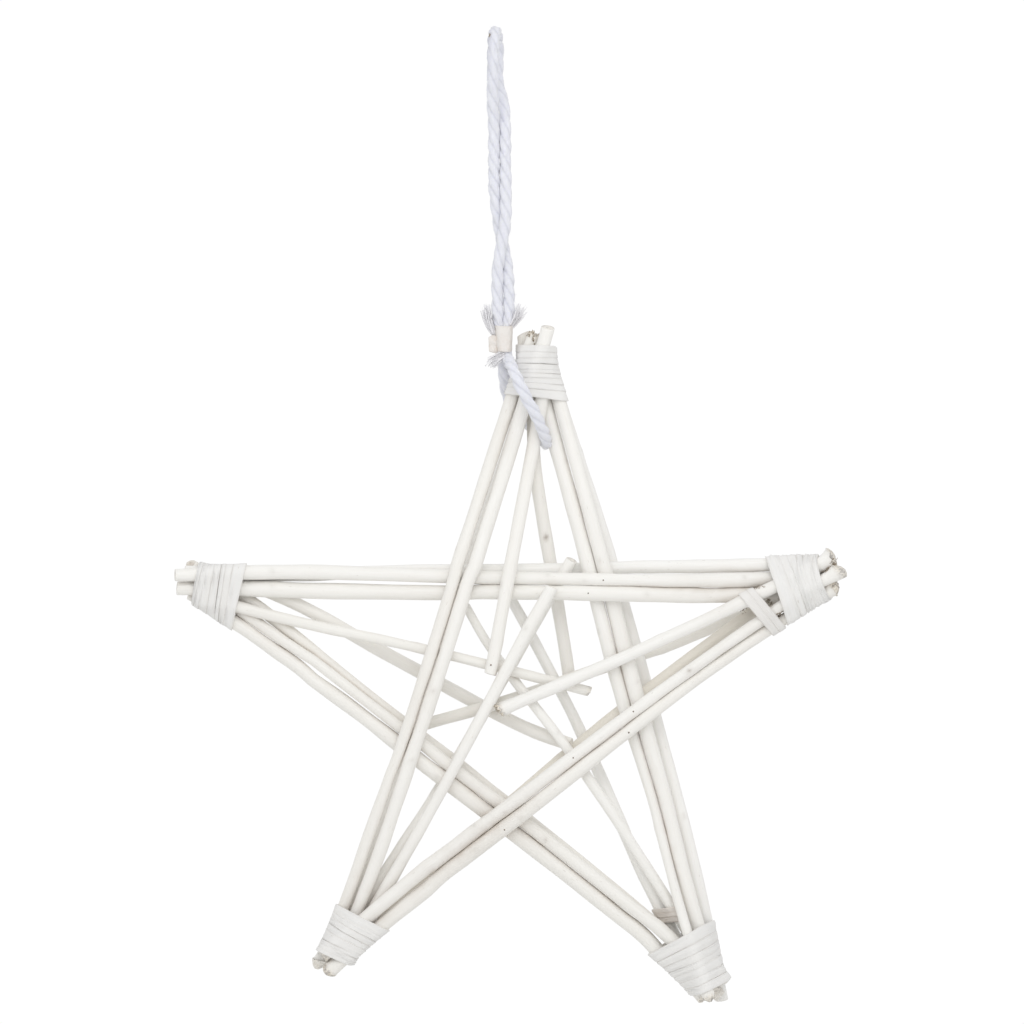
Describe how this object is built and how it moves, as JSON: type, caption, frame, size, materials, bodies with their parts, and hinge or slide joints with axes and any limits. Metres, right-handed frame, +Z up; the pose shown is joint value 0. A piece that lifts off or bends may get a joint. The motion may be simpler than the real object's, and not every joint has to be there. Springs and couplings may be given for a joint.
{
  "type": "wicker star decoration",
  "caption": "Hanging five-pointed star of peeled willow sticks, bound with split willow at its tips, on a twisted cotton rope loop.",
  "frame": {"origin": "inside of the rope loop at its top, where a hook holds the star", "axes": "+X to the right seen from the front, +Y away from the viewer, +Z up"},
  "size_m": [0.3504, 0.0471, 0.5084],
  "materials": {
    "willow": "peeled, dull",
    "strip": "split, satin",
    "rope": "twisted cotton",
    "tape": "dull tape"
  },
  "bodies": {
    "root": {"arm_a_back": "willow", "arm_a_inner": "willow", "arm_a_outer": "willow", "arm_b_back": "willow", "arm_b_inner": "willow", "arm_b_outer": "willow", "arm_c_back": "willow", "arm_c_lower": "willow", "arm_c_upper": "willow", "arm_d_back": "willow", "arm_d_lower": "willow", "arm_d_upper": "willow", "arm_e_back": "willow", "arm_e_lower": "willow", "arm_e_upper": "willow", "frayed_end_left": "rope", "frayed_end_lower": "rope", "frayed_end_right": "rope", "lashing_left": "strip", "lashing_lower_left": "strip", "lashing_lower_right": "strip", "lashing_right": "strip", "lashing_top": "strip", "rope_hanging_loop": "rope", "rope_lower_loop": "rope", "short_left_back": "willow", "short_left_front": "willow", "short_lower_left_back": "willow", "short_lower_left_front": "willow", "short_lower_right_back": "willow", "short_lower_right_front": "willow", "short_right_back": "willow", "short_right_front": "willow", "short_top_back": "willow", "short_top_front": "willow", "tape_band": "tape"}
  },
  "joints": []
}
